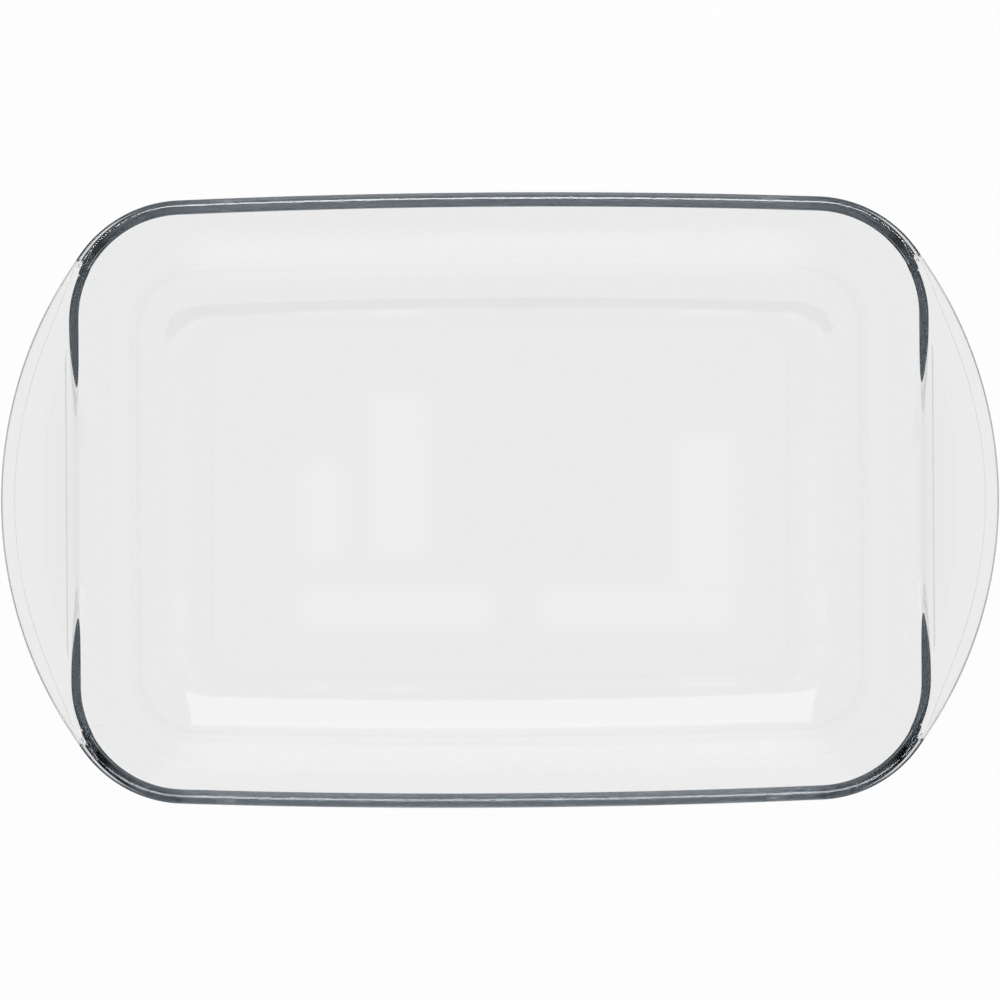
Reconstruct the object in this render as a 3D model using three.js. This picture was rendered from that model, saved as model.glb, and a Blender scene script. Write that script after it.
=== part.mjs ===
// Clear pressed-glass baking dish with a handle flange at each short end.
// Millimetres, +Z up, +X along the dish. The origin is on the table under the middle of the dish.
// The dish is one pressing, divided here into the zones of its mould, which meet face to face.
import * as THREE from 'three';

// Basin
const mouthLength = 325.4; // between the inner edges of the rim, end to end
const mouthWidth = 227; // between the inner edges of the rim, at the middle of the long sides
const mouthCornerRadius = 40.3;
const sideBow = 2.3; // how far the middle of a long side stands out from its ends
const floorLength = 254.2; // flat part of the floor, inside the heel
const floorWidth = 150;
const floorCornerRadius = 15;
const basinDepth = 50; // rim top to floor
const heelRadius = 26; // between floor and wall, inside
const floorThickness = 6.3;
const wallThickness = 5.2;

// Foot
const footHeight = 0.5;
const footEndWidth = 10.8; // band under each short end
const footSideWidth = 3.3; // band under each long side

// Rim
const rimWidth = 5.7;
const crownHeight = 1.4; // rounded top of the rim
const rimChamfer = 2.2; // slope from the rim's outer land back to the wall

// Handles
const handleReach = 25; // beyond the rim, at the middle of the end
const handleFlare = 3.2; // extra radius with which a handle leaves the rim's corner
const handleDrop = 0.4; // handle top below the rim top
const handleThickness = 5.5;
const handleBevelInset = 5.1; // underside bevel along the handle's edge
const handleBevelRise = 2;
const handleEdgeRound = 0.8;
const webClearance = 0.3; // by which the web under a handle covers the slope under the rim, at its ends
const webGrowth = 7.2; // how much further it reaches at the middle of the handle

// Facets
const sideSteps = 6;
const cornerSteps = 8;
const endSteps = 10;
const heelSteps = 5;
const crownSteps = 3; // on each side of the crown's middle
const handleStartStep = 3; // corner facet at which a handle is wide enough to be a solid
const webSpan = 3; // end facets that the web under a handle covers on each side of the middle

const glassColor = 0xe6ecec;
const glassRoughness = 0.05;
const glassOpacity = 0.35;

// Heights
const floorTop = footHeight + floorThickness;
const rimTop = floorTop + basinDepth;
const mouthHeight = rimTop - crownHeight;
const handleTop = rimTop - handleDrop;
const handleBottom = handleTop - handleThickness;
const rimBase = handleBottom - rimChamfer;

// A plan loop is a rounded rectangle with bowed long sides. It is given by the centre of its corner arcs and their
// radius. All loops turn by the same small bow angle along a long side, so that they stay in step.
const halfBow = Math.atan(sideBow / (mouthLength / 2 - mouthCornerRadius));
const bowAngle = 2 * halfBow;

function planLoop(length, width, radius) {
  const centreX = length / 2 - radius;
  const centreY = width / 2 - radius - centreX * Math.tan(halfBow);
  return { centreX, centreY, radius };
}

function grown(loop, distance) {
  return { ...loop, radius: loop.radius + distance };
}

function blended(from, to, share) {
  return {
    centreX: THREE.MathUtils.lerp(from.centreX, to.centreX, share),
    centreY: THREE.MathUtils.lerp(from.centreY, to.centreY, share),
    radius: THREE.MathUtils.lerp(from.radius, to.radius, share),
  };
}

const mouthLoop = planLoop(mouthLength, mouthWidth, mouthCornerRadius);
const floorLoop = planLoop(floorLength, floorWidth, floorCornerRadius);
const recessLoop = planLoop(
  floorLength - 2 * footEndWidth,
  floorWidth - 2 * footSideWidth,
  floorCornerRadius,
);
const rimLoop = grown(mouthLoop, rimWidth);

const quarter = Math.PI / 2;

// A station is a place along every loop: its heading, and its place between the corner centres.
function endStation(side, share) {
  return { along: side, across: side * (2 * share - 1), bow: 0, cos: side, sin: 0 };
}

function cornerStation(sideX, sideY, angle) {
  return { along: sideX, across: sideY, bow: 0, cos: Math.cos(angle), sin: Math.sin(angle) };
}

function sideStation(side, share) {
  const angle = side * quarter + bowAngle * (2 * share - 1);
  const cos = Math.cos(angle);
  const sin = Math.sin(angle);
  const bow = side * (Math.abs(sin) - Math.cos(bowAngle)) / Math.sin(bowAngle);
  return { along: cos / Math.sin(bowAngle), across: side, bow, cos, sin };
}

function steps(count, make) {
  return Array.from({ length: count + 1 }, (_, i) => make(i / count));
}

function cornerStations(sideX, sideY, startAngle, endAngle) {
  const turn = (share) => THREE.MathUtils.lerp(startAngle, endAngle, share);
  return steps(cornerSteps, (share) => cornerStation(sideX, sideY, turn(share)));
}

const zones = {
  right: steps(endSteps, (share) => endStation(1, share)),
  backRight: cornerStations(1, 1, 0, quarter - bowAngle),
  back: steps(sideSteps, (share) => sideStation(1, share)),
  backLeft: cornerStations(-1, 1, quarter + bowAngle, 2 * quarter),
  left: steps(endSteps, (share) => endStation(-1, share)),
  frontLeft: cornerStations(-1, -1, -2 * quarter, -quarter - bowAngle),
  front: steps(sideSteps, (share) => sideStation(-1, share)),
  frontRight: cornerStations(1, -1, -quarter + bowAngle, 0),
};
const ringStations = Object.values(zones).flatMap((zone) => zone.slice(0, -1));

function planPoint(station, loop) {
  return new THREE.Vector2(
    loop.centreX * station.along + loop.radius * station.cos,
    loop.centreY * station.across + loop.centreX * station.bow + loop.radius * station.sin,
  );
}

// A section is a closed list of [loop, height] points, the same at each station or worked out for it.
function sweep(stations, sectionAt, isRing) {
  const positions = [];
  const indices = [];
  const sections = stations.map((station) => sectionAt(station));
  const count = sections[0].length;
  sections.forEach((section, i) => {
    section.forEach(([loop, height]) => {
      const point = planPoint(stations[i], loop);
      positions.push(point.x, point.y, height);
    });
  });
  const intervals = isRing ? stations.length : stations.length - 1;
  for (let i = 0; i < intervals; i++) {
    const here = i * count;
    const next = ((i + 1) % stations.length) * count;
    for (let k = 0; k < count; k++) {
      const after = (k + 1) % count;
      indices.push(here + k, next + k, here + after);
      indices.push(next + k, next + after, here + after);
    }
  }
  if (!isRing) {
    const last = (stations.length - 1) * count;
    capTriangles(sections[0]).forEach(([a, b, c]) => indices.push(a, b, c));
    capTriangles(sections.at(-1)).forEach(([a, b, c]) => indices.push(last + a, last + c, last + b));
  }
  const geometry = new THREE.BufferGeometry();
  geometry.setAttribute('position', new THREE.Float32BufferAttribute(positions, 3));
  geometry.setIndex(indices);
  geometry.computeVertexNormals();
  return geometry;
}

function capTriangles(section) {
  const outline = section.map(([loop, height]) => new THREE.Vector2(loop.centreX + loop.radius, height));
  return THREE.ShapeUtils.triangulateShape(outline, []);
}

// Basin wall, seen in section. The heel turns from the floor into a straight wall, which leans out to the mouth.
const wallRun = ((mouthLength - floorLength) + (mouthWidth - floorWidth)) / 4;
const wallRise = mouthHeight - floorTop;
const chord = Math.hypot(wallRise - heelRadius, wallRun);
const wallLean = Math.atan2(wallRun, wallRise - heelRadius) - Math.asin(heelRadius / chord);

function insideLoop(run) {
  return blended(floorLoop, mouthLoop, run / wallRun);
}

const rimBaseRun = wallRun - (mouthHeight - rimBase) * Math.tan(wallLean);
const rimBaseInside = [insideLoop(rimBaseRun), rimBase];
const rimBaseOutside = [grown(insideLoop(rimBaseRun), wallThickness / Math.cos(wallLean)), rimBase];

const heel = steps(heelSteps, (share) => {
  const angle = share * (quarter - wallLean);
  const thickness = THREE.MathUtils.lerp(floorThickness, wallThickness, share);
  const inside = insideLoop(heelRadius * Math.sin(angle));
  const height = floorTop + heelRadius * (1 - Math.cos(angle));
  return {
    inside: [inside, height],
    outside: [grown(inside, thickness * Math.sin(angle)), height - thickness * Math.cos(angle)],
  };
});
const wallSection = [
  ...heel.map((point) => point.outside),
  rimBaseOutside,
  rimBaseInside,
  ...heel.map((point) => point.inside).reverse(),
];

// Rim: a half-oval crown over an upright outer land. The handle tops meet the crown at handleDrop.
const handleLineAngle = Math.asin(1 - handleDrop / crownHeight);

function crownPoint(angle) {
  const distance = (1 + Math.cos(angle)) * rimWidth / 2;
  return [grown(mouthLoop, distance), mouthHeight + crownHeight * Math.sin(angle)];
}

const crownOutside = steps(crownSteps - 1, (share) => crownPoint(share * handleLineAngle));
const crownInside = steps(crownSteps, (share) => crownPoint(quarter * (1 + share)));
const landBottom = [rimLoop, handleBottom];
const rimSection = [rimBaseOutside, landBottom, ...crownOutside, ...crownInside, rimBaseInside];

// Handle outline: an arc that leaves the rim at the end of the long side, and runs into the wide arc of the handle.
const flareRadius = rimLoop.radius + handleFlare;
const flareCentre = new THREE.Vector2(
  rimLoop.centreX - handleFlare * Math.sin(bowAngle),
  rimLoop.centreY - handleFlare * Math.cos(bowAngle),
);
const handleTip = mouthLength / 2 + rimWidth + handleReach;
const tipRun = handleTip - flareCentre.x;
const handleRadius =
  (tipRun ** 2 + flareCentre.y ** 2 - flareRadius ** 2) / (2 * (tipRun - flareRadius));
const handleCentreX = handleTip - handleRadius;

// Distance from a point, along a heading, to the far side of a circle
function reachOfCircle(point, heading, centre, radius) {
  const offset = point.clone().sub(centre);
  const across = offset.dot(heading);
  return -across + Math.sqrt(across ** 2 - offset.lengthSq() + radius ** 2);
}

function handleEdge(station) {
  const start = planPoint(station, mouthLoop);
  start.set(Math.abs(start.x), Math.abs(start.y));
  const heading = new THREE.Vector2(Math.abs(station.cos), Math.abs(station.sin));
  const flare = reachOfCircle(start, heading, flareCentre, flareRadius);
  const wide = reachOfCircle(start, heading, new THREE.Vector2(handleCentreX, 0), handleRadius);
  const meets = start.clone().addScaledVector(heading, wide);
  const onFlare = meets.y * (flareCentre.x - handleCentreX) > flareCentre.y * (meets.x - handleCentreX);
  return onFlare ? flare : wide;
}

function handleSection(station) {
  const edge = handleEdge(station);
  const width = edge - rimWidth;
  const edgeRound = Math.min(handleEdgeRound, width / 2);
  const bevelShare = Math.min(1, width / (2 * handleBevelInset));
  return [
    landBottom,
    [grown(mouthLoop, edge - bevelShare * handleBevelInset), handleBottom],
    [grown(mouthLoop, edge), handleBottom + bevelShare * handleBevelRise],
    [grown(mouthLoop, edge), handleTop - edgeRound],
    [grown(mouthLoop, edge - edgeRound), handleTop],
    ...crownOutside.slice().reverse(),
  ];
}

// Web under a handle: a sloping thickening between its underside and the wall, over the slope under the rim
const endLean = Math.atan(Math.tan(wallLean) * (mouthLength - floorLength) / (2 * wallRun)); // of the end walls
const cornerRun =
  wallThickness / Math.cos(wallLean) - (mouthHeight - handleBottom) * Math.tan(endLean);
const slopeReach = Math.max(rimWidth - cornerRun, rimChamfer / Math.cos(endLean));

function webSection(station) {
  const share = Math.abs(station.across) * endSteps / (2 * webSpan);
  const reach = slopeReach + webClearance + webGrowth * (1 - share ** 4);
  return [
    [grown(mouthLoop, cornerRun - reach * Math.sin(endLean)), handleBottom - reach * Math.cos(endLean)],
    [grown(mouthLoop, cornerRun + reach), handleBottom],
    landBottom,
    rimBaseOutside,
  ];
}

// Flat pieces
function plate(outline, hole, bottom, height) {
  const shape = new THREE.Shape(ringStations.map((station) => planPoint(station, outline)));
  if (hole) {
    shape.holes.push(new THREE.Path(ringStations.map((station) => planPoint(station, hole))));
  }
  const geometry = new THREE.ExtrudeGeometry(shape, { depth: height, bevelEnabled: false });
  return geometry.translate(0, 0, bottom);
}

const dish = new THREE.Group();

function addZone(name, geometry) {
  const material = new THREE.MeshStandardMaterial({
    color: glassColor,
    roughness: glassRoughness,
    metalness: 0,
    transparent: true,
    opacity: glassOpacity,
  });
  const mesh = new THREE.Mesh(geometry, material);
  mesh.name = name;
  dish.add(mesh);
}

addZone('floor_panel', plate(floorLoop, null, footHeight, floorThickness));
addZone('foot_ring', plate(floorLoop, recessLoop, 0, footHeight));

const wallZones = {
  right_wall: zones.right,
  back_right_corner: zones.backRight,
  back_wall: zones.back,
  back_left_corner: zones.backLeft,
  left_wall: zones.left,
  front_left_corner: zones.frontLeft,
  front_wall: zones.front,
  front_right_corner: zones.frontRight,
};
Object.entries(wallZones).forEach(([name, stations]) => {
  addZone(name, sweep(stations, () => wallSection, false));
});

addZone('rim_bead', sweep(ringStations, () => rimSection, true));

const handleStations = {
  right_handle: [zones.frontRight, zones.right, zones.backRight],
  left_handle: [zones.backLeft, zones.left, zones.frontLeft],
};
Object.entries(handleStations).forEach(([name, [before, end, after]]) => {
  const stations = [
    ...before.slice(handleStartStep),
    ...end.slice(1, -1),
    ...after.slice(0, after.length - handleStartStep),
  ];
  addZone(name, sweep(stations, handleSection, false));
});

const webStations = {
  right_handle_web: zones.right,
  left_handle_web: zones.left,
};
Object.entries(webStations).forEach(([name, end]) => {
  const middle = endSteps / 2;
  addZone(name, sweep(end.slice(middle - webSpan, middle + webSpan + 1), webSection, false));
});

export default dish;
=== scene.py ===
import math
from functools import partial

import bpy
import numpy as np
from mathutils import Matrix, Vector


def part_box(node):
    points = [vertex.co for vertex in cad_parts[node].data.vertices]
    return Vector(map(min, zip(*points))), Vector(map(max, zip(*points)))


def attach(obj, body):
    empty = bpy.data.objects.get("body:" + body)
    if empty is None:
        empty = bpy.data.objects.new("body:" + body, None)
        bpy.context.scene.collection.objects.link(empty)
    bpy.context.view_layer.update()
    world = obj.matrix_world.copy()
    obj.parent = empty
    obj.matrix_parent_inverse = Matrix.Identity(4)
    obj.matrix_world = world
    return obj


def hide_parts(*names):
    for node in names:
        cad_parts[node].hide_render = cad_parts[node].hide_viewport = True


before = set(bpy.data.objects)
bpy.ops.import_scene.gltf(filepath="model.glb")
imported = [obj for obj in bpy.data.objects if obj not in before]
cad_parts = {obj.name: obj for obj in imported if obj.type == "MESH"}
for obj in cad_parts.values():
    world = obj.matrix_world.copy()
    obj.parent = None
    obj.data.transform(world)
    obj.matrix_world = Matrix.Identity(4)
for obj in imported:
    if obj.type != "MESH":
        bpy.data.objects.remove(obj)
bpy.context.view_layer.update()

mm = 0.001
print("frame loaded:", len(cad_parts), "glass zones")

# Places that the CAD zones give
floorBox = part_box("floor_panel")
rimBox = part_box("rim_bead")
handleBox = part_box("right_handle")

dish = {
    "rimWidth": 5.7 * mm,
    "crownHeight": 1 * mm,          # rounded top of the rim
    "crownPower": 4,                # 2 would be an oval, more is flatter on top
    "mouthCorner": 40.3 * mm,       # inner corner radius at the rim
    "floorCorner": 15 * mm,         # corner radius of the flat floor
    "sideBow": 2.3 * mm,            # long sides stand out at their middle
    "heelRadius": 26 * mm,
    "heelEase": 12 * mm,            # length over which the heel straightens into the wall
    "wallThickness": 5.8 * mm,
    "footEndWidth": 10.8 * mm,
    "footSideWidth": 3.3 * mm,
    "recessDraft": 0.005 * mm,      # slope of the step inside the foot
    "lipDrop": 2.8 * mm,            # from the rim's top to the foot of its upright land
    "lipBlend": 12 * mm,            # height over which the lip slopes back into the wall
    "lipSlope": 6,                  # how far a wider rim reaches down the wall
    "landEase": 0.8 * mm,           # rounding between the land and that slope
    "slopeEase": 3 * mm,            # and between the slope and the wall
    "handleFlare": 2.6 * mm,        # extra radius where a handle leaves the corner
    "handleStart": 1.2 * mm,        # up to this width the rim only widens
    "handleBlend": 1.26 * mm,       # and at this width the handle's section is complete
    "rampEnd": 2 * mm,              # width at which the widened rim's slope has died out under the handle
    "handleEdge": 0.5 * mm,         # rounding of the handle's top edge
    "handleLowerEdge": 1.2 * mm,
    "handleBevel": 5.1 * mm,        # underside bevel along the edge
    "handleBevelRise": 2 * mm,
    "handleStep": 0.3 * mm,         # mould line where the bevel starts
    "handleRootEase": 0.7 * mm,     # hollow between rim crown and handle top
    "endWeb": 0.15 * mm,            # thickening between handle and wall, towards its ends
    "middleWeb": 9.8 * mm,          # and at its middle
    "webStart": 8 * mm,             # handle width from which it grows
    "webFull": 24.6 * mm,           # and at which it is full
    "webReach": 1.05,               # how far it comes out under the handle, for each unit down the wall
    "webRound": 0.3,                # share of the web that is rounded off at its top and foot
    "sideSteps": 96,
    "cornerSteps": 72,
    "endSteps": 64,
    "heelSteps": 22,
}

floorTop = floorBox[1].z
underside = floorBox[0].z
rimTop = rimBox[1].z
handleTop = handleBox[1].z
handleBottom = handleBox[0].z
rimWidth = dish["rimWidth"]
crownHeight = dish["crownHeight"]
mouthHeight = rimTop - crownHeight
mouthHalfLength = rimBox[1].x - rimWidth
mouthHalfWidth = rimBox[1].y - rimWidth
quarter = math.pi / 2


# Plan: a loop is a rounded rectangle with bowed long sides, kept as (corner centre x, y, corner radius)
halfBow = math.atan(dish["sideBow"] / (mouthHalfLength - dish["mouthCorner"]))
bowAngle = 2 * halfBow


def planLoop(halfLength, halfWidth, radius):
    centreX = halfLength - radius
    centreY = halfWidth - radius - centreX * math.tan(halfBow)
    return Vector((centreX, centreY, radius))


mouthLoop = planLoop(mouthHalfLength, mouthHalfWidth, dish["mouthCorner"])
rimLoop = mouthLoop + Vector((0, 0, rimWidth))
floorLoop = planLoop(floorBox[1].x, floorBox[1].y, dish["floorCorner"])
recessLoop = planLoop(
    floorBox[1].x - dish["footEndWidth"],
    floorBox[1].y - dish["footSideWidth"],
    dish["floorCorner"],
)


def loopPoint(loop, corner, heading):
    x = loop.x * corner.x + loop.z * heading.x
    y = loop.y * corner.y + loop.x * corner.z + loop.z * heading.y
    return Vector((x, y))


# Handle outline: a flare off the rim's corner, then one wide arc to the tip
flareRadius = rimLoop.z + dish["handleFlare"]
flareCentre = rimLoop.xy - dish["handleFlare"] * Vector((math.sin(bowAngle), math.cos(bowAngle)))
tipRun = handleBox[1].x - flareCentre.x
wideRadius = (tipRun ** 2 + flareCentre.y ** 2 - flareRadius ** 2) / (2 * (tipRun - flareRadius))
wideCentre = Vector((handleBox[1].x - wideRadius, 0))


def circleReach(start, heading, centre, radius):
    offset = start - centre
    across = offset.dot(heading)
    return -across + math.sqrt(across ** 2 - offset.length_squared + radius ** 2)


def handleWidth(corner, heading):
    start = loopPoint(rimLoop, corner, heading)
    start = Vector((abs(start.x), abs(start.y)))
    ahead = Vector((abs(heading.x), abs(heading.y)))
    wide = circleReach(start, ahead, wideCentre, wideRadius)
    meets = start + ahead * wide - wideCentre
    tangent = flareCentre - wideCentre
    if meets.y * tangent.x > tangent.y * meets.x:
        return circleReach(start, ahead, flareCentre, flareRadius)
    return wide


def station(corner, angle):
    heading = Vector((math.cos(angle), math.sin(angle), 0))
    isSide = abs(heading.x) <= math.sin(bowAngle) + 1e-9
    width = 0 if isSide else handleWidth(corner, heading.xy)
    return {"heading": heading, "corner": corner, "handle": (width, 0, 0)}


def endStations(side):
    count = dish["endSteps"]
    angle = 0 if side > 0 else math.pi
    return [station(Vector((side, side * (2 * i / count - 1), 0)), angle) for i in range(count)]


def cornerStations(sideX, sideY, startAngle, endAngle):
    count = dish["cornerSteps"]
    corner = Vector((sideX, sideY, 0))
    return [station(corner, startAngle + (endAngle - startAngle) * i / count) for i in range(count)]


def sideStations(side):
    count = dish["sideSteps"]
    made = []
    for i in range(count):
        angle = side * quarter + bowAngle * (2 * i / count - 1)
        along = math.cos(angle) / math.sin(bowAngle)
        bow = side * (abs(math.sin(angle)) - math.cos(bowAngle)) / math.sin(bowAngle)
        made.append(station(Vector((along, side, bow)), angle))
    return made


stations = (
    endStations(1)
    + cornerStations(1, 1, 0, quarter - bowAngle)
    + sideStations(1)
    + cornerStations(-1, 1, quarter + bowAngle, math.pi)
    + endStations(-1)
    + cornerStations(-1, -1, -math.pi, -quarter - bowAngle)
    + sideStations(-1)
    + cornerStations(1, -1, -quarter + bowAngle, 0)
)
print("plan:", len(stations), "stations")


# Section: points are (run out from the floor's edge, height), then their change for each unit of
# handle width, of its bevel and of its web, and for the ramp under a handle's ends
def at(run, height, perWidth=(0, 0), perBevel=(0, 0), perWeb=(0, 0), perRamp=(0, 0)):
    return np.array((run, height, *perWidth, *perBevel, *perWeb, *perRamp), float)


def straight(start, end, count):
    return [start + (end - start) * (i + 1) / count for i in range(count)]


def eased(start, corner, end, count):
    made = []
    for i in range(count):
        s = (i + 1) / count
        made.append((1 - s) ** 2 * start + 2 * s * (1 - s) * corner + s ** 2 * end)
    return made


def smoothStep(value):
    value = min(1, max(0, value))
    return value * value * (3 - 2 * value)


wallRun = (mouthHalfLength - floorBox[1].x + mouthHalfWidth - floorBox[1].y) / 2
wallThickness = dish["wallThickness"]
heelSteps = dish["heelSteps"]


def crown(angle):
    power = 2 / dish["crownPower"]
    across = math.copysign(abs(math.cos(angle)) ** power, math.cos(angle))
    rise = math.sin(angle) ** power
    return at(wallRun + (1 + across) * rimWidth / 2, mouthHeight + crownHeight * rise)


def crownStart(lean):
    power = dish["crownPower"]
    slope = math.tan(lean) * crownHeight / (rimWidth / 2)
    return math.pi - math.atan(slope ** (power / (2 * (power - 1))))


# Heel: round at the floor, then easing into the straight wall. Gives (run, height, tilt) at each step
def heelCurve(lean):
    turn = quarter - lean
    roundLength = turn * dish["heelRadius"] - dish["heelEase"] / 2
    length = roundLength + dish["heelEase"]
    finePerStep = 12
    fine = finePerStep * heelSteps
    run, height, tilt = 0, floorTop, 0
    made = [(run, height, tilt)]
    for i in range(fine):
        way = length * (i + 1) / fine
        past = max(0, way - roundLength)
        before = tilt
        tilt = (way - past ** 2 / (2 * dish["heelEase"])) / dish["heelRadius"]
        run += math.cos((before + tilt) / 2) * length / fine
        height += math.sin((before + tilt) / 2) * length / fine
        if (i + 1) % finePerStep == 0:
            made.append((run, height, tilt))
    return made


leanLow, leanHigh = math.radians(4), math.radians(35)
for _ in range(40):  # the lean at which heel, wall and crown meet without a corner
    lean = (leanLow + leanHigh) / 2
    heel = heelCurve(lean)
    wallTop = crown(crownStart(lean))
    if (wallTop[0] - heel[-1][0]) * math.cos(lean) > (wallTop[1] - heel[-1][1]) * math.sin(lean):
        leanLow = lean
    else:
        leanHigh = lean
print("wall lean:", round(math.degrees(lean), 2))


def insideRun(height):
    return wallTop[0] - (wallTop[1] - height) * math.tan(lean)


def outsideWall(height):
    return at(insideRun(height) + wallThickness / math.cos(lean), height)


def wallLoop(run):
    return floorLoop.lerp(mouthLoop, run / wallRun) - Vector((0, 0, run))


section = []


def addSection(loop, plain, dressed=None, loopRise=Vector((0, 0, 0))):
    dressed = plain if dressed is None else dressed
    section.append({"loop": loop, "loopRise": loopRise, "plain": plain, "dressed": dressed})


# Inside: floor, heel and wall
for share in (0, 0.3, 0.6, 0.85, 0.95):
    addSection(floorLoop * share, at(0, floorTop))
for run, height, tilt in heel:
    addSection(wallLoop(run), at(run, height))
heelEnd = section[-1]["plain"]
for point in straight(heelEnd, wallTop, 8):
    addSection(wallLoop(point[0]), point)

# Rim crown, up to the line where a handle's top meets it
handleLine = math.asin((1 - (rimTop - handleTop) / crownHeight) ** (dish["crownPower"] / 2))
lineRun = crown(handleLine)[0]
easeRun = lineRun - dish["handleRootEase"] - wallRun
easeAngle = math.acos((easeRun / (rimWidth / 2) - 1) ** (dish["crownPower"] / 2))
topLoop = wallLoop(wallRun)
crownSteps = 16
for i in range(crownSteps):
    share = (i + 1) / crownSteps
    addSection(topLoop, crown(crownStart(lean) + (easeAngle - crownStart(lean)) * share))

# Outside, plain: crown, upright land, slope back to the wall. The ledge is the part of the slope that lies
# above a handle's underside
edgeSteps, landSteps, easeSteps, ledgeSteps, slopeSteps, wallSteps = 24, 2, 8, 11, 18, 6
landEnd = edgeSteps + landSteps + easeSteps - 1
ledgeEnd = landEnd + ledgeSteps
landRun = wallRun + rimWidth
landBottom = at(landRun, rimTop - dish["lipDrop"])
slopeEnd = outsideWall(landBottom[1] - dish["lipBlend"])
slopeWay = (slopeEnd - landBottom) / np.linalg.norm(slopeEnd - landBottom)
wider = at(0, 0, (1, 0))
lower = at(0, 0, (-math.tan(lean) * dish["lipSlope"], -dish["lipSlope"]))
heelOutTop = heelEnd + at(wallThickness * math.cos(lean), -wallThickness * math.sin(lean))
slopeStart = landBottom + wider + slopeWay * dish["landEase"]
slopeFoot = outsideWall(slopeEnd[1] - dish["slopeEase"]) + lower
slopeFine = 240
slopePoints = eased(slopeStart, slopeEnd + lower, slopeFoot, slopeFine)
lastPoint = slopeFine - 1
ledge = [point[1] + point[3] * dish["handleStart"] > handleBottom for point in slopePoints].index(False)
plainChain = []
for i in range(edgeSteps):
    angle = easeAngle * (1 - (i + 1) / edgeSteps)
    stretch = (crown(angle)[0] - wallRun - easeRun) / (rimWidth - easeRun)
    plainChain.append(crown(angle) + wider * stretch)
plainChain += straight(plainChain[-1], landBottom + wider + at(0, dish["landEase"]), landSteps)
plainChain += eased(plainChain[-1], landBottom + wider, slopeStart, easeSteps)
plainChain += [slopePoints[ledge * (i + 1) // ledgeSteps] for i in range(ledgeSteps)]
plainChain += [slopePoints[ledge + (lastPoint - ledge) * (i + 1) // slopeSteps] for i in range(slopeSteps)]
plainChain += straight(slopePoints[-1], heelOutTop, wallSteps)

# Outside, with a handle: its top, edge, bevel, underside and the web down to the wall, in as many points as
# the plain outside has
edgeRound = dish["handleEdge"]
lowerRound = dish["handleLowerEdge"]
mouldStep = dish["handleStep"]
webRound = dish["webRound"]
bevelSlope = dish["handleBevelRise"] / dish["handleBevel"]
rootTop = at(lineRun + dish["handleRootEase"], handleTop)
edgeTop = at(landRun, handleTop, (1, 0))
edgeBottom = at(landRun, handleBottom, (1, 0), (0, bevelSlope))
bevelStart = edgeBottom + at(-lowerRound, -lowerRound * bevelSlope)
crease = at(landRun, handleBottom, (1, 0), (-1, 0))
creaseTop = crease + at(mouldStep, mouldStep)
creaseMiddle = crease + at(mouldStep / 2, mouldStep / 2)
webCorner = outsideWall(handleBottom)
webTop = webCorner + at(0, 0, perWeb=(dish["webReach"], 0))
webFoot = webCorner + at(0, 0, perWeb=(-math.sin(lean), -math.cos(lean)))
webOut = webTop + (webTop - webCorner) * webRound
webDown = webFoot + (webFoot - webCorner) * webRound
webSlope = webFoot - webTop

handleChain = eased(crown(easeAngle), crown(handleLine), rootTop, 6)
handleChain += straight(rootTop, edgeTop + at(-edgeRound, 0), 12)
for i in range(6):
    angle = quarter * (i + 1) / 6
    handleChain.append(edgeTop + at(edgeRound * (math.sin(angle) - 1), edgeRound * (math.cos(angle) - 1)))
handleChain += straight(handleChain[-1], edgeBottom + at(0, lowerRound), 2)
handleChain += eased(handleChain[-1], edgeBottom, bevelStart, 8)
handleChain += straight(handleChain[-1], creaseTop, 4)
handleChain += eased(creaseTop, crease + at(mouldStep / 2, mouldStep), creaseMiddle, 2)
handleChain += eased(creaseMiddle, crease + at(mouldStep / 2, 0), crease, 2)

# Under a handle's ends these points start on the ramp that the widened rim leaves
rampChain = [point[0:2] + point[2:4] * dish["handleStart"] for point in plainChain[ledgeEnd:]]


def onRamp(point, place, foot):
    return point + at(0, 0, perRamp=place - foot[0:2])


underPlaces = straight(webCorner[0:2], rampChain[0], 3)
underChain = straight(crease, webOut, 3)
handleChain += [onRamp(underChain[i], underPlaces[i], webCorner) for i in range(3)]
webChain = eased(webOut, webTop, webTop + webSlope * webRound, 6)
webChain += straight(webChain[-1], webFoot - webSlope * webRound, 6)
webChain += eased(webChain[-1], webFoot, webDown, 6)
handleChain += [onRamp(webChain[i], rampChain[1 + i], webCorner) for i in range(slopeSteps)]
wallChain = straight(webDown, heelOutTop, wallSteps)
wallFoot = straight(webCorner, heelOutTop, wallSteps)
wallRamp = rampChain[1 + slopeSteps:]
handleChain += [onRamp(wallChain[i], wallRamp[i], wallFoot[i]) for i in range(wallSteps)]

# Below the land the plan follows the wall, so a point's loop goes by its height
tableLoop = wallLoop(insideRun(0))
loopRise = (wallLoop(insideRun(rimTop)) - tableLoop) / rimTop
for i, (plain, dressed) in enumerate(zip(plainChain, handleChain, strict=True)):
    follow = smoothStep((i - landEnd) / ledgeSteps)
    addSection(topLoop.lerp(tableLoop, follow), plain, dressed, loopRise * follow)

# Outside heel, foot and the recess inside it
for i in range(1, heelSteps + 1):
    run, height, tilt = heel[heelSteps - i]
    thickness = floorTop + (wallThickness - floorTop) * (1 - i / heelSteps)
    addSection(wallLoop(run), at(run + thickness * math.sin(tilt), height - thickness * math.cos(tilt)))
draft = dish["recessDraft"]
for run, height in ((4 * draft, 0), (draft, 0), (0, 0.1), (0, 0.9), (-draft, 1), (-4 * draft, 1)):
    addSection(recessLoop, at(run, height * underside))
for share in (0.9, 0.6, 0.3, 0):
    addSection(recessLoop * share, at(0, underside))
print("section:", len(section), "points")


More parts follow.
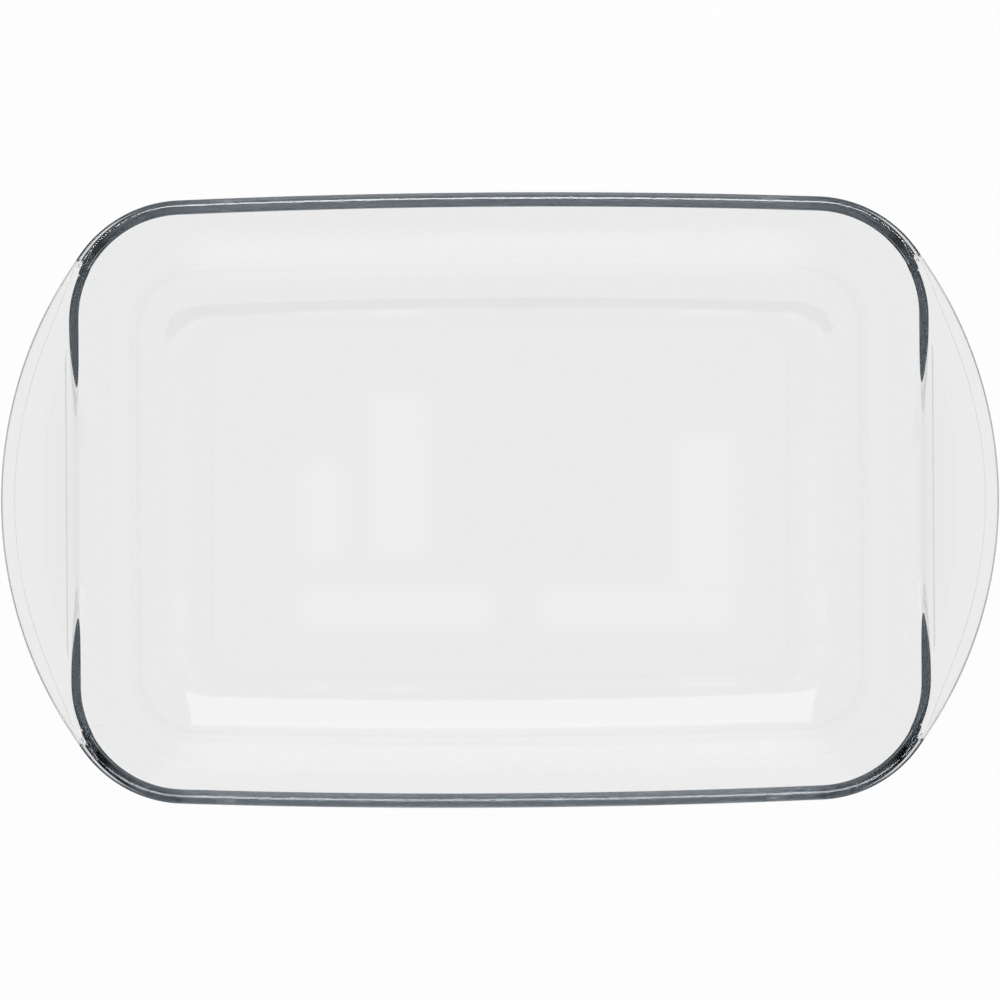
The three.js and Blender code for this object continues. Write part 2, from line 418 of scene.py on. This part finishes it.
# Guides: one point for each station and for each section point, with its values as attributes
def makeGuide(name, rows):
    mesh = bpy.data.meshes.new(name)
    mesh.from_pydata([(i, 0, 0) for i in range(len(rows))], [], [])
    for column in rows[0]:
        layer = mesh.attributes.new(column, "FLOAT_VECTOR", "POINT")
        layer.data.foreach_set("vector", [value for row in rows for value in row[column]])
    guide = bpy.data.objects.new(name, mesh)
    bpy.context.collection.objects.link(guide)
    return guide


def runHeight(values):
    return (values[0], values[1], 0)


sectionRows = []
for point in section:
    sectionRows.append({
        "loop": point["loop"],
        "loopRise": point["loopRise"],
        "plain": runHeight(point["plain"][0:2]),
        "plainPerWidth": runHeight(point["plain"][2:4]),
        "dressed": runHeight(point["dressed"][0:2]),
        "perWidth": runHeight(point["dressed"][2:4]),
        "perBevel": runHeight(point["dressed"][4:6]),
        "perWeb": runHeight(point["dressed"][6:8]),
        "perRamp": runHeight(point["dressed"][8:10]),
    })
planGuide = makeGuide("planGuide", stations)
sectionGuide = makeGuide("sectionGuide", sectionRows)


# Helpers for material trees and for Geometry Nodes
def feed(tree, socket, value):
    if isinstance(value, bpy.types.NodeSocket):
        tree.links.new(value, socket)
    else:
        socket.default_value = value


def mathNode(tree, operation, *values):
    node = tree.nodes.new("ShaderNodeMath")
    node.operation = operation
    for socket, value in zip(node.inputs, values):
        feed(tree, socket, value)
    return node.outputs[0]


def rangeNode(tree, kind, value, low, high, lowResult, highResult):
    node = tree.nodes.new("ShaderNodeMapRange")
    node.interpolation_type = kind
    for socket, source in zip(node.inputs, (value, low, high, lowResult, highResult)):
        feed(tree, socket, source)
    return node.outputs[0]


def partsNode(tree, vector):
    node = tree.nodes.new("ShaderNodeSeparateXYZ")
    tree.links.new(vector, node.inputs[0])
    return node.outputs


def objectPlace(tree):
    return tree.nodes.new("ShaderNodeTexCoord").outputs["Object"]


# Clear glass
glass = {
    "tint": (0.963, 0.96, 0.959),
    "ior": 1.5,
    "absorbColor": (0.445, 0.495, 0.53),
    "absorbDensity": 10.0,
    "waveSize": 22,                 # waves for each metre, in the pressed surface
    "waveHeight": 0.01 * mm,
    "grainSize": 900,               # fine wear of the surface
    "grainHeight": 0.0001 * mm,
    "dullSize": 60,                 # and where it is a little dull
    "roughness": (0.0, 0.012),
}


def makeClearGlass():
    material = bpy.data.materials.new("clearGlass")
    material.use_nodes = True
    tree = material.node_tree
    shader = tree.nodes["Principled BSDF"]
    shader.inputs["Base Color"].default_value = (*glass["tint"], 1)
    shader.inputs["IOR"].default_value = glass["ior"]
    shader.inputs["Transmission Weight"].default_value = 1
    absorb = tree.nodes.new("ShaderNodeVolumeAbsorption")
    absorb.inputs["Color"].default_value = (*glass["absorbColor"], 1)
    absorb.inputs["Density"].default_value = glass["absorbDensity"]
    tree.links.new(absorb.outputs["Volume"], tree.nodes["Material Output"].inputs["Volume"])
    place = objectPlace(tree)

    def noise(size, detail):
        node = tree.nodes.new("ShaderNodeTexNoise")
        node.inputs["Scale"].default_value = size
        node.inputs["Detail"].default_value = detail
        tree.links.new(place, node.inputs["Vector"])
        return node.outputs["Fac"]

    def bump(height, depth, under=None):
        node = tree.nodes.new("ShaderNodeBump")
        node.inputs["Strength"].default_value = 1
        node.inputs["Distance"].default_value = depth
        tree.links.new(height, node.inputs["Height"])
        if under:
            tree.links.new(under, node.inputs["Normal"])
        return node.outputs["Normal"]

    waves = bump(noise(glass["waveSize"], 1), glass["waveHeight"])
    grain = bump(noise(glass["grainSize"], 3), glass["grainHeight"], waves)
    tree.links.new(grain, shader.inputs["Normal"])
    dull = rangeNode(tree, "LINEAR", noise(glass["dullSize"], 4), 0, 1, *glass["roughness"])
    tree.links.new(dull, shader.inputs["Roughness"])
    return material


clearGlass = makeClearGlass()


# The pressing: the section is carried round the plan
def makePressingTree():
    tree = bpy.data.node_groups.new("pressedGlassSweep", "GeometryNodeTree")
    face = tree.interface
    face.new_socket("Geometry", in_out="OUTPUT", socket_type="NodeSocketGeometry")
    face.new_socket("Plan", in_out="INPUT", socket_type="NodeSocketObject")
    face.new_socket("Section", in_out="INPUT", socket_type="NodeSocketObject")
    face.new_socket("Stations", in_out="INPUT", socket_type="NodeSocketInt")
    face.new_socket("Section Points", in_out="INPUT", socket_type="NodeSocketInt")
    for size in ("Handle Start", "Handle Blend", "Handle Bevel", "Ramp End",
                 "End Web", "Middle Web", "Web Start", "Web Full", "Weld Distance"):
        face.new_socket(size, in_out="INPUT", socket_type="NodeSocketFloat")
    face.new_socket("Glass", in_out="INPUT", socket_type="NodeSocketMaterial")
    nodes = tree.nodes
    links = tree.links
    given = nodes.new("NodeGroupInput").outputs
    result = nodes.new("NodeGroupOutput").inputs
    scalar = partial(mathNode, tree)
    smoothRange = partial(rangeNode, tree, "SMOOTHSTEP")
    parts = partial(partsNode, tree)

    def integer(operation, first, second):
        node = nodes.new("FunctionNodeIntegerMath")
        node.operation = operation
        feed(tree, node.inputs[0], first)
        feed(tree, node.inputs[1], second)
        return node.outputs[0]

    def scaledSum(vector, factor, base):
        scaled = nodes.new("ShaderNodeVectorMath")
        scaled.operation = "SCALE"
        links.new(vector, scaled.inputs[0])
        links.new(factor, scaled.inputs["Scale"])
        total = nodes.new("ShaderNodeVectorMath")
        total.operation = "ADD"
        links.new(scaled.outputs[0], total.inputs[0])
        links.new(base, total.inputs[1])
        return total.outputs[0]

    def reader(guide, index):
        info = nodes.new("GeometryNodeObjectInfo")
        links.new(guide, info.inputs["Object"])

        def read(name):
            named = nodes.new("GeometryNodeInputNamedAttribute")
            named.data_type = "FLOAT_VECTOR"
            named.inputs["Name"].default_value = name
            sample = nodes.new("GeometryNodeSampleIndex")
            sample.data_type = "FLOAT_VECTOR"
            links.new(info.outputs["Geometry"], sample.inputs["Geometry"])
            links.new(named.outputs["Attribute"], sample.inputs["Value"])
            links.new(index, sample.inputs["Index"])
            return sample.outputs["Value"]

        return read

    # A grid with a row for each station and a column for each section point
    grid = nodes.new("GeometryNodeMeshGrid")
    links.new(integer("ADD", given["Stations"], 1), grid.inputs["Vertices X"])
    links.new(given["Section Points"], grid.inputs["Vertices Y"])
    index = nodes.new("GeometryNodeInputIndex").outputs[0]
    rowIndex = integer("DIVIDE_FLOOR", index, given["Section Points"])
    plan = reader(given["Plan"], integer("MODULO", rowIndex, given["Stations"]))
    shape = reader(given["Section"], integer("MODULO", index, given["Section Points"]))

    # What the handle's width gives: bevel, ramp and web
    bevelShare = 0.8  # of the width, where the handle is narrow
    width = parts(plan("handle"))[0]
    bevel = scalar("DIVIDE", scalar("MULTIPLY", width, bevelShare), given["Handle Bevel"])
    bevel = scalar("MULTIPLY", scalar("TANH", bevel), given["Handle Bevel"])
    ramp = smoothRange(width, given["Handle Start"], given["Ramp End"], 1, 0)
    growth = smoothRange(width, given["Web Start"], given["Web Full"], 0, 1)
    web = scalar("MULTIPLY_ADD", scalar("POWER", growth, 2), given["Middle Web"], given["End Web"])
    web = scalar("MULTIPLY", web, scalar("SUBTRACT", 1, ramp))
    plain = scaledSum(shape("plainPerWidth"), width, shape("plain"))
    dressed = scaledSum(shape("perWidth"), width, shape("dressed"))
    dressed = scaledSum(shape("perBevel"), bevel, dressed)
    dressed = scaledSum(shape("perWeb"), web, dressed)
    dressed = scaledSum(shape("perRamp"), ramp, dressed)
    mix = nodes.new("ShaderNodeMix")
    mix.data_type = "VECTOR"
    links.new(smoothRange(width, given["Handle Start"], given["Handle Blend"], 0, 1), mix.inputs[0])
    links.new(plain, mix.inputs[4])  # A and B of the vector kind
    links.new(dressed, mix.inputs[5])
    runAndHeight = parts(mix.outputs[1])

    # Place on the loop
    loop = parts(scaledSum(shape("loopRise"), runAndHeight[1], shape("loop")))
    corner = parts(plan("corner"))
    heading = parts(plan("heading"))
    radius = scalar("ADD", loop[2], runAndHeight[0])
    x = scalar("MULTIPLY_ADD", loop[0], corner[0], scalar("MULTIPLY", radius, heading[0]))
    y = scalar("MULTIPLY_ADD", loop[0], corner[2], scalar("MULTIPLY", radius, heading[1]))
    y = scalar("MULTIPLY_ADD", loop[1], corner[1], y)
    place = nodes.new("ShaderNodeCombineXYZ")
    for socket, value in zip(place.inputs, (x, y, runAndHeight[1])):
        links.new(value, socket)

    setPlace = nodes.new("GeometryNodeSetPosition")
    links.new(grid.outputs["Mesh"], setPlace.inputs["Geometry"])
    links.new(place.outputs[0], setPlace.inputs["Position"])
    weld = nodes.new("GeometryNodeMergeByDistance")
    links.new(setPlace.outputs[0], weld.inputs["Geometry"])
    links.new(given["Weld Distance"], weld.inputs["Distance"])
    outward = nodes.new("GeometryNodeFlipFaces")
    links.new(weld.outputs[0], outward.inputs[0])
    smooth = nodes.new("GeometryNodeSetShadeSmooth")
    links.new(outward.outputs[0], smooth.inputs["Geometry"])
    real = nodes.new("GeometryNodeRealizeInstances")
    links.new(smooth.outputs[0], real.inputs[0])
    finish = nodes.new("GeometryNodeSetMaterial")
    links.new(real.outputs[0], finish.inputs["Geometry"])
    links.new(given["Glass"], finish.inputs["Material"])
    links.new(finish.outputs[0], result["Geometry"])
    return tree


def runTree(name, tree, values):
    carrier = bpy.data.objects.new(name + "Carrier", bpy.data.meshes.new(name + "Carrier"))
    bpy.context.collection.objects.link(carrier)
    modifier = carrier.modifiers.new(name, "NODES")
    modifier.node_group = tree
    for item in tree.interface.items_tree:
        if item.in_out == "INPUT":
            modifier[item.identifier] = values[item.name]
    evaluated = carrier.evaluated_get(bpy.context.evaluated_depsgraph_get())
    mesh = bpy.data.meshes.new_from_object(evaluated)
    bpy.data.objects.remove(carrier)
    mesh.name = name
    made = bpy.data.objects.new(name, mesh)
    bpy.context.collection.objects.link(made)
    return made


pressedDish = runTree("pressed_glass_dish", makePressingTree(), {
    "Plan": planGuide,
    "Section": sectionGuide,
    "Stations": len(stations),
    "Section Points": len(section),
    "Handle Start": dish["handleStart"],
    "Handle Blend": dish["handleBlend"],
    "Handle Bevel": dish["handleBevel"],
    "Ramp End": dish["rampEnd"],
    "End Web": dish["endWeb"],
    "Middle Web": dish["middleWeb"],
    "Web Start": dish["webStart"],
    "Web Full": dish["webFull"],
    "Weld Distance": 0.005 * mm,
    "Glass": clearGlass,
})
for guide in (planGuide, sectionGuide):
    bpy.data.objects.remove(guide)
print("pressing:", len(pressedDish.data.polygons), "faces")

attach(pressedDish, "root")
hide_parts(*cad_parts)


# Studio
studio = {
    "cameraHeight": 1.357,
    "frameWidth": 0.3872,           # what the picture spans at the rim
    "roll": -0.37,                  # degrees
    "floorSize": 16.0,
    "floorDrop": 0.2 * mm,          # keeps the floor clear of the foot
    "floorColor": (0.97, 0.97, 0.97),
    "glowToCamera": 0.96,           # share of the floor that is plain white, the rest takes shadow
    "glowToGlass": 0.5,
    "floorInGlass": 0.905,          # strength of that white for rays that come through the glass
    "paintedCausticLevel": 0.045,              # painted light: lighter strips of floor under the long walls, seen only through the glass, in place of light that the walls focus onto the floor
    "paintedCausticInner": (0.088, 0.098),
    "paintedCausticOuter": (0.108, 0.116),
    "paintedCausticEnd": (0.11, 0.14),
    "zenithLevel": 0.68,
    "horizonLevel": 0.2,
    "horizonFade": 0.35,            # rise of the view at which the sky is as light as overhead
    "darkLevel": 0.05,
    "reflectorLevel": 1.12,
    "reflectorEdge": 0.028,
    "reflectorStep": 2 * mm,        # each hangs that much below the one before, as some overlap
    "bounces": 64,                  # light runs a long way round inside the glass
}
scene = bpy.context.scene


def makeSheet(name, corners):
    mesh = bpy.data.meshes.new(name)
    mesh.from_pydata(corners, [], [(0, 1, 2, 3)])
    sheet = bpy.data.objects.new(name, mesh)
    bpy.context.collection.objects.link(sheet)
    material = bpy.data.materials.new(name)
    material.use_nodes = True
    mesh.materials.append(material)
    return sheet, material.node_tree


def blendSurface(tree, share, first, second):
    blend = tree.nodes.new("ShaderNodeMixShader")
    for socket, value in zip(blend.inputs, (share, first, second)):
        tree.links.new(value, socket)
    tree.links.new(blend.outputs[0], tree.nodes["Material Output"].inputs["Surface"])


def makeFloor():
    half = studio["floorSize"] / 2
    drop = studio["floorDrop"]
    corners = [(-half, -half, -drop), (half, -half, -drop), (half, half, -drop), (-half, half, -drop)]
    floor, tree = makeSheet("studioFloor", corners)
    scalar = partial(mathNode, tree)
    smoothRange = partial(rangeNode, tree, "SMOOTHSTEP")
    shader = tree.nodes["Principled BSDF"]
    shader.inputs["Base Color"].default_value = (*studio["floorColor"], 1)
    shader.inputs["Specular IOR Level"].default_value = 0
    shader.inputs["Roughness"].default_value = 0.9
    glow = tree.nodes.new("ShaderNodeEmission")
    ray = tree.nodes.new("ShaderNodeLightPath").outputs

    # Painted light: under the long walls the floor glows brighter for rays that come through the glass, in
    # place of light that the walls focus onto it
    place = partsNode(tree, objectPlace(tree))
    along = scalar("ABSOLUTE", place["X"])
    across = scalar("ABSOLUTE", place["Y"])
    inner = smoothRange(across, *studio["paintedCausticInner"], 0, 1)
    outer = smoothRange(across, *studio["paintedCausticOuter"], 1, 0)
    sides = smoothRange(along, *studio["paintedCausticEnd"], studio["paintedCausticLevel"], 0)
    sides = scalar("MULTIPLY", sides, scalar("MULTIPLY", inner, outer))
    change = scalar("ADD", sides, studio["floorInGlass"] - 1)
    level = scalar("MULTIPLY_ADD", ray["Is Transmission Ray"], change, 1)
    tree.links.new(level, glow.inputs["Strength"])

    sees = scalar("MULTIPLY", ray["Is Camera Ray"], studio["glowToCamera"])
    sees = scalar("MULTIPLY_ADD", ray["Is Glossy Ray"], studio["glowToGlass"], sees)
    sees = scalar("MULTIPLY_ADD", ray["Is Transmission Ray"], studio["glowToGlass"], sees)
    blendSurface(tree, scalar("MINIMUM", sees, 1), shader.outputs[0], glow.outputs[0])
    return floor


# A card is a flat light that the camera doesn't see. Its sides are (left, right, front, back), its heights
# those of the front and the back edge, and soft is the width over which it fades out towards its edges
def makeCard(name, sides, heights, level, soft=0.0):
    left, right, front, back = sides
    low, high = heights
    corners = [(left, front, low), (right, front, low), (right, back, high), (left, back, high)]
    card, tree = makeSheet(name, corners)
    scalar = partial(mathNode, tree)
    glow = tree.nodes.new("ShaderNodeEmission")
    glow.inputs["Strength"].default_value = level
    if soft:
        place = partsNode(tree, objectPlace(tree))
        cover = 1
        for axis, start, end in (("X", left, right), ("Y", front, back)):
            away = scalar("ABSOLUTE", scalar("SUBTRACT", place[axis], (start + end) / 2))
            edge = (end - start) / 2
            cover = scalar("MULTIPLY", cover, rangeNode(tree, "SMOOTHSTEP", away, edge - soft, edge, 1, 0))
        blendSurface(tree, cover, tree.nodes.new("ShaderNodeBsdfTransparent").outputs[0], glow.outputs[0])
    else:
        tree.links.new(glow.outputs[0], tree.nodes["Material Output"].inputs["Surface"])
    card.visible_camera = False
    return card


makeFloor()

# A softbox behind the dish, the dark side of the room in front, and thin strips for the light line along the
# back and the front rim. Each strip has a flap, as light as what lies behind it, that hides the strip from
# the far side of the basin
zenithLevel = studio["zenithLevel"]
darkLevel = studio["darkLevel"]
cards = {
    "softbox": {"sides": (-0.265, 0.265, 0.4, 1.6), "heights": (1.41, 0.68), "level": 1.7, "soft": 0.045},
    "darkSide": {"sides": (-1.5, 1.5, -1.3, -0.28), "heights": (3.2, 3.2), "level": darkLevel},
    "backStrip": {"sides": (-0.45, 0.45, 0.236, 0.256), "heights": (1.28, 1.28), "level": 16},
    "backFlap": {"sides": (-0.5, 0.5, 0.16, 0.2), "heights": (1.03, 1.03), "level": zenithLevel},
    "frontStrip": {"sides": (-0.45, 0.45, -0.23, -0.21), "heights": (1.28, 1.28), "level": 8},
    "frontFlap": {"sides": (-0.5, 0.5, -0.19, -0.145), "heights": (1.03, 1.03), "level": darkLevel},
}
for name, card in cards.items():
    made = makeCard(name, **card)
    made.visible_diffuse = name != "frontStrip"  # that one puts no light on the floor

# Pale things round the camera, which the flat floor of the dish mirrors
reflectors = {
    "leftPanel": (-0.174, -0.11, -0.062, 0.046),
    "leftPost": (-0.12, -0.044, -0.06, 0.1),
    "leftBar": (-0.177, 0.006, -0.118, -0.056),
    "rightBar": (0.018, 0.202, -0.118, -0.056),
    "rightPanel": (0.126, 0.205, -0.085, 0.066),
}
for i, (name, sides) in enumerate(reflectors.items()):
    height = studio["cameraHeight"] - i * studio["reflectorStep"]
    makeCard(name, sides, (height, height), studio["reflectorLevel"], studio["reflectorEdge"])

# Sky, darker towards the horizon
world = bpy.data.worlds.new("studio")
scene.world = world
world.use_nodes = True
sky = world.node_tree
background = sky.nodes["Background"].inputs
background["Color"].default_value = (1, 1, 1, 1)
rise = partsNode(sky, sky.nodes.new("ShaderNodeTexCoord").outputs["Generated"])["Z"]
skyRange = (0, studio["horizonFade"], studio["horizonLevel"], studio["zenithLevel"])
sky.links.new(rangeNode(sky, "SMOOTHSTEP", rise, *skyRange), background["Strength"])

camera = bpy.data.objects.new("camera", bpy.data.cameras.new("camera"))
bpy.context.collection.objects.link(camera)
camera.location = (0, 0, studio["cameraHeight"])
camera.rotation_euler = (0, 0, math.radians(studio["roll"]))
camera.data.sensor_width = 36
camera.data.lens = camera.data.sensor_width * (studio["cameraHeight"] - rimTop) / studio["frameWidth"]
scene.camera = camera

scene.view_settings.view_transform = "Standard"
scene.cycles.max_bounces = studio["bounces"]
scene.cycles.glossy_bounces = studio["bounces"]
scene.cycles.transmission_bounces = studio["bounces"]
print("studio: floor, sky and", len(cards) + len(reflectors), "cards")
